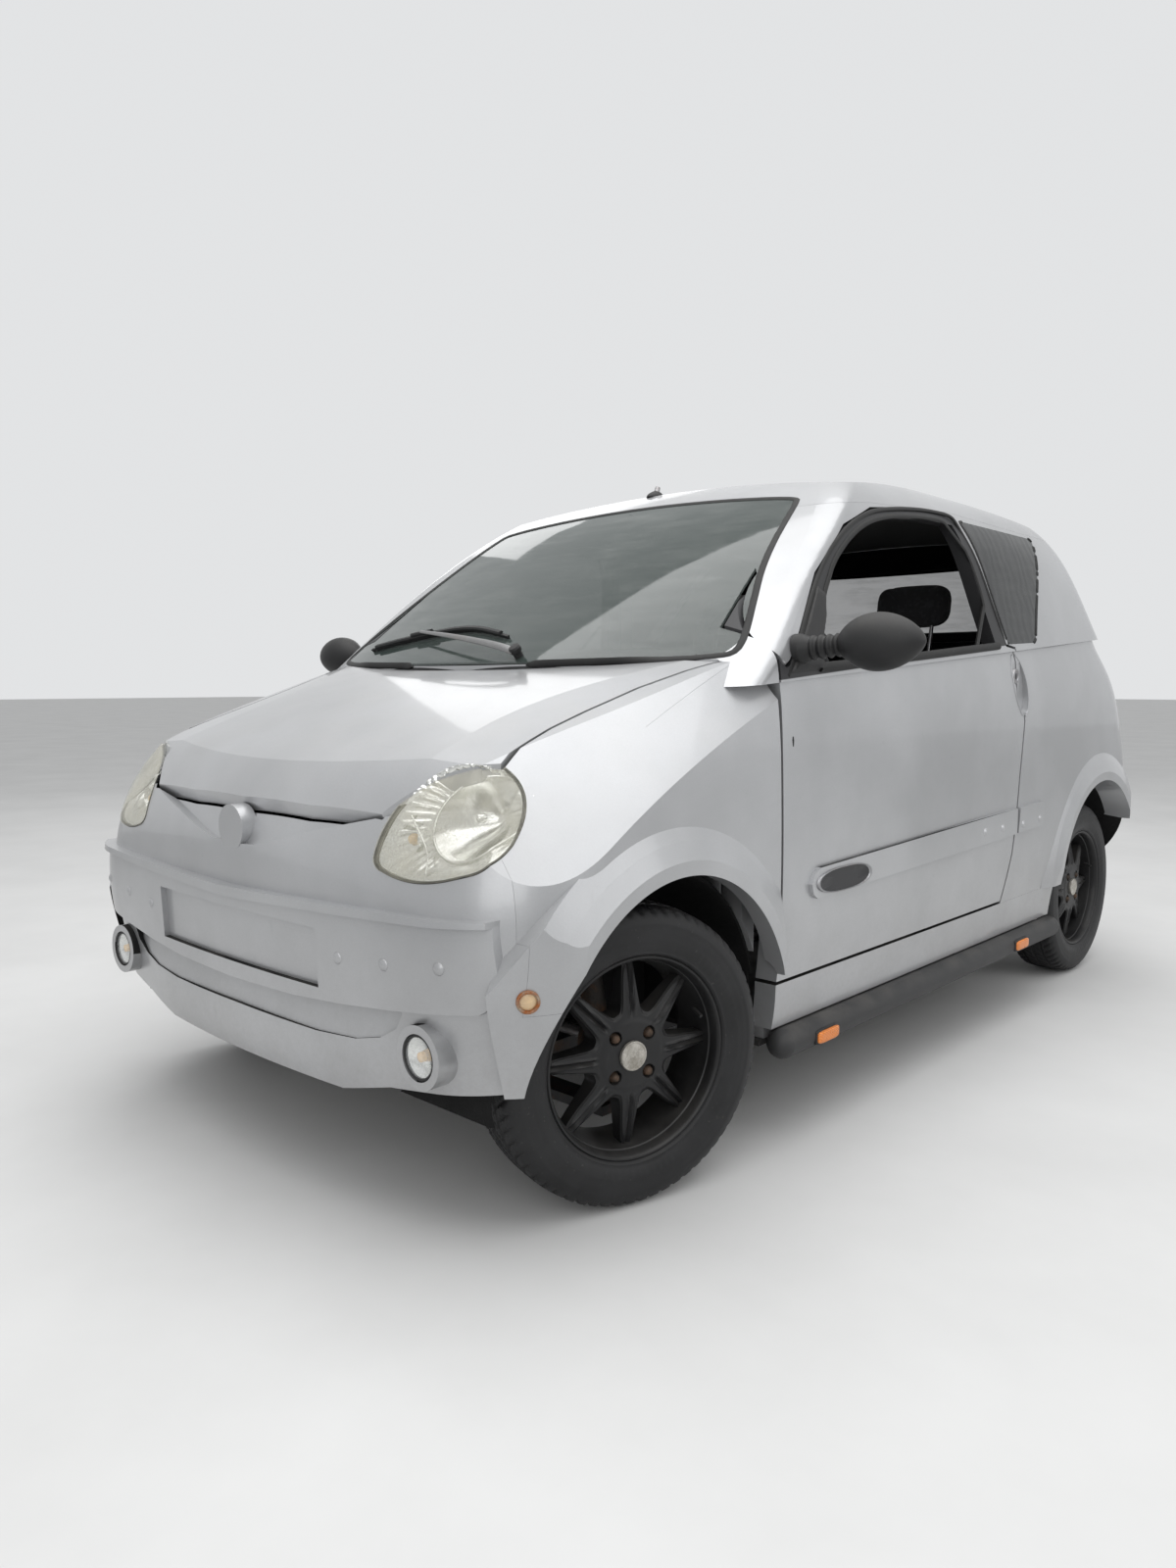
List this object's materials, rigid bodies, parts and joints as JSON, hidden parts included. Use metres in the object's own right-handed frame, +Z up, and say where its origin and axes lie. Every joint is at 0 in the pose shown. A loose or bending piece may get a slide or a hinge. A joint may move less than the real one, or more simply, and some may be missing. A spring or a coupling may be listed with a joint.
{
  "type": "microcar",
  "caption": "Two-seat, two-door light quadricycle with a one-volume silver body, opening doors, hood and tailgate, steered front wheels and black alloy rims.",
  "frame": {"origin": "On the ground under the middle of the car's length and width", "axes": "+Z up, -Y towards the nose, +X towards the car's left side"},
  "size_m": [1.88, 3.0003, 1.425],
  "materials": {
    "cabin_frame": "metallic silver paint",
    "chassis_rails": "black paint",
    "dashboard": "grained",
    "door_glass_right": "green tint",
    "door_left": "metallic silver paint",
    "door_right": "metallic silver paint",
    "drive_shafts": "plain steel",
    "engine": "cast",
    "fender_left": "metallic silver paint",
    "fender_right": "metallic silver paint",
    "floor_pan": "black underseal",
    "fog_lamps": "clear",
    "front_arms": "black paint",
    "front_bumper": "metallic silver paint",
    "headlamps": "hazed clear lens",
    "hood": "metallic silver paint",
    "knuckle_left": "dark",
    "knuckle_right": "dark",
    "mirror_left": "black plastic",
    "mirror_right": "black plastic",
    "quarter_glasses": "dark film",
    "quarter_left": "metallic silver paint",
    "quarter_right": "metallic silver paint",
    "rack_housing": "cast",
    "rear_axle": "black paint",
    "rear_bumper": "metallic silver paint",
    "rim_front_left": "black paint",
    "rim_front_right": "black paint",
    "rim_rear_left": "black paint",
    "rim_rear_right": "black paint",
    "roof_panel": "metallic silver paint",
    "seat_left": "dark cloth",
    "seat_right": "dark cloth",
    "side_tubes": "black plastic",
    "sills": "metallic silver paint",
    "steering_wheel": "black plastic",
    "tail_lamps": "red lens",
    "tailgate": "metallic silver paint",
    "tailgate_glass": "green tint",
    "tie_rods": "plain steel",
    "tyre_front_left": "worn rubber",
    "tyre_front_right": "worn rubber",
    "tyre_rear_left": "worn rubber",
    "tyre_rear_right": "worn rubber",
    "wheel_housings": "black plastic",
    "windscreen": "green tint"
  },
  "bodies": {
    "body": {"cabin_frame": "cabin_frame", "chassis_rails": "chassis_rails", "dashboard": "dashboard", "drive_shafts": "drive_shafts", "engine": "engine", "fender_left": "fender_left", "fender_right": "fender_right", "floor_pan": "floor_pan", "fog_lamps": "fog_lamps", "front_arms": "front_arms", "front_bumper": "front_bumper", "headlamps": "headlamps", "quarter_glasses": "quarter_glasses", "quarter_left": "quarter_left", "quarter_right": "quarter_right", "rack_housing": "rack_housing", "rear_axle": "rear_axle", "rear_bumper": "rear_bumper", "roof_panel": "roof_panel", "seat_left": "seat_left", "seat_right": "seat_right", "side_tubes": "side_tubes", "sills": "sills", "tail_lamps": "tail_lamps", "wheel_housings": "wheel_housings", "windscreen": "windscreen"},
    "hood": {"hood": "hood"},
    "tailgate": {"tailgate": "tailgate", "tailgate_glass": "tailgate_glass"},
    "rack": {"tie_rods": "tie_rods"},
    "steering_wheel": {"steering_wheel": "steering_wheel"},
    "door_left": {"door_left": "door_left", "mirror_left": "mirror_left"},
    "knuckle_left": {"knuckle_left": "knuckle_left"},
    "wheel_front_left": {"tyre_front_left": "tyre_front_left", "rim_front_left": "rim_front_left"},
    "wheel_rear_left": {"tyre_rear_left": "tyre_rear_left", "rim_rear_left": "rim_rear_left"},
    "door_right": {"door_right": "door_right", "mirror_right": "mirror_right", "door_glass_right": "door_glass_right"},
    "knuckle_right": {"knuckle_right": "knuckle_right"},
    "wheel_front_right": {"tyre_front_right": "tyre_front_right", "rim_front_right": "rim_front_right"},
    "wheel_rear_right": {"tyre_rear_right": "tyre_rear_right", "rim_rear_right": "rim_rear_right"}
  },
  "joints": [
    {"name": "steer_left", "type": "hinge", "parent": "body", "child": "knuckle_left", "pos_m": [0.54, -1.045, 0.16595], "axis": [-0.1879, 0, 0.9822], "range_deg": [-18.5, 51.5]},
    {"name": "wheel_front_left_spin", "type": "hinge", "parent": "knuckle_left", "child": "wheel_front_left", "pos_m": [0.58916, -1.06492, 0.2669], "axis": [0.9603, -0.279, -0.0076], "continuous": true},
    {"name": "wheel_rear_left_spin", "type": "hinge", "parent": "body", "child": "wheel_rear_left", "pos_m": [0.592, 1.068, 0.2665], "axis": [1, 0, 0], "continuous": true},
    {"name": "door_left_hinge", "type": "hinge", "parent": "body", "child": "door_left", "pos_m": [0.68, -0.705, 0.6], "axis": [0, 0, -1], "range_deg": [0, 65]},
    {"name": "steer_right", "type": "hinge", "parent": "body", "child": "knuckle_right", "pos_m": [-0.54, -1.045, 0.16595], "axis": [0.1879, 0, 0.9822], "range_deg": [-18.5, 51.5]},
    {"name": "wheel_front_right_spin", "type": "hinge", "parent": "knuckle_right", "child": "wheel_front_right", "pos_m": [-0.58916, -1.02508, 0.2669], "axis": [0.9603, -0.279, 0.0076], "continuous": true},
    {"name": "wheel_rear_right_spin", "type": "hinge", "parent": "body", "child": "wheel_rear_right", "pos_m": [-0.592, 1.068, 0.2665], "axis": [1, 0, 0], "continuous": true},
    {"name": "door_right_hinge", "type": "hinge", "parent": "body", "child": "door_right", "pos_m": [-0.68, -0.705, 0.6], "axis": [0, 0, 1], "range_deg": [0, 65]},
    {"name": "rack_slide", "type": "slide", "parent": "body", "child": "rack", "axis": [1, 0, 0], "range_m": [-0.0765, 0.0278]},
    {"name": "steering_wheel_turn", "type": "hinge", "parent": "body", "child": "steering_wheel", "pos_m": [0.33, -0.255, 0.945], "axis": [0, 0.8984, 0.4392], "range_deg": [-190, 520]},
    {"name": "hood_hinge", "type": "hinge", "parent": "body", "child": "hood", "pos_m": [0, -0.955, 0.888], "axis": [-1, 0, 0], "range_deg": [0, 60]},
    {"name": "tailgate_hinge", "type": "hinge", "parent": "body", "child": "tailgate", "pos_m": [0, 1.03, 1.352], "axis": [1, 0, 0], "range_deg": [0, 75]}
  ],
  "couplings": [
    {"joint": "steer_right", "follows": "steer_left", "ratio": 1},
    {"joint": "rack_slide", "follows": "steer_left", "m_per_rad": -0.0845},
    {"joint": "steering_wheel_turn", "follows": "steer_left", "ratio": 10}
  ]
}
